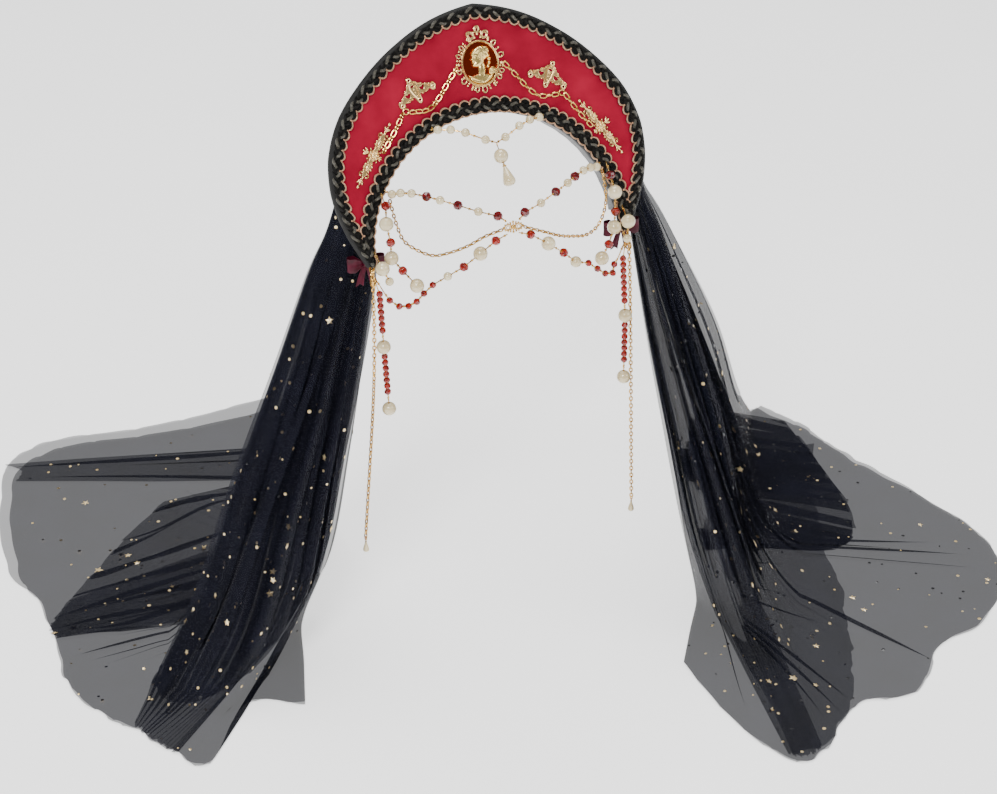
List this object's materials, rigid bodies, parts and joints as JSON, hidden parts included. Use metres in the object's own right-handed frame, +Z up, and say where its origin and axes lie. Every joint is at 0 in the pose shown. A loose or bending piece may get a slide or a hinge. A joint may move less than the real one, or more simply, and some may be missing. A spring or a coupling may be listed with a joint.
{
  "type": "veiled crown headband",
  "caption": "Upright velvet crescent crown on a head band, edged with braid, hung with bead and chain strings over the brow, with a long tulle veil at each side.",
  "frame": {"origin": "the underside of the band at its top middle, where the crown sits on the head", "axes": "+Z up, the front of the crown faces -Y, +X to the viewer's right"},
  "size_m": [0.7519, 0.5985, 0.4693],
  "materials": {
    "velvet": "crimson velvet, matt with a soft sheen",
    "black_braid": "black gimp braid with gold cord scallops",
    "black_satin": "plain black satin",
    "pale_gold": "bright pale gold plate",
    "pearl": "ivory pearl lustre",
    "red_glass": "faceted red glass",
    "burgundy_satin": "burgundy satin ribbon",
    "black_tulle": "fine black tulle, see-through, with gold stars and dots"
  },
  "bodies": {
    "root": {"bow_left": "burgundy_satin", "bow_right": "burgundy_satin", "brow_ornament": "pale_gold", "brow_string_left": "red_glass", "brow_string_right": "red_glass", "cameo": "pale_gold", "cluster_drop_left": "pearl", "cluster_drop_right": "pearl", "corner_filigree_left": "pale_gold", "corner_filigree_right": "pale_gold", "crown_panel": "velvet", "forehead_drop": "pearl", "forehead_string": "pearl", "garland_left": "red_glass", "garland_right": "red_glass", "head_band": "black_satin", "inner_braid": "black_braid", "long_filigree_left": "pale_gold", "long_filigree_right": "pale_gold", "outer_braid": "black_braid", "panel_chain_inner_left": "pale_gold", "panel_chain_inner_right": "pale_gold", "panel_chain_outer_left": "pale_gold", "panel_chain_outer_right": "pale_gold", "side_chain_left": "pale_gold", "side_chain_right": "pale_gold", "side_strand_left": "red_glass", "side_strand_right": "red_glass", "swag_chain_left": "pale_gold", "swag_chain_right": "pale_gold", "temple_cluster_left": "pearl", "temple_cluster_right": "pearl", "veil_left": "black_tulle", "veil_right": "black_tulle"}
  },
  "joints": []
}
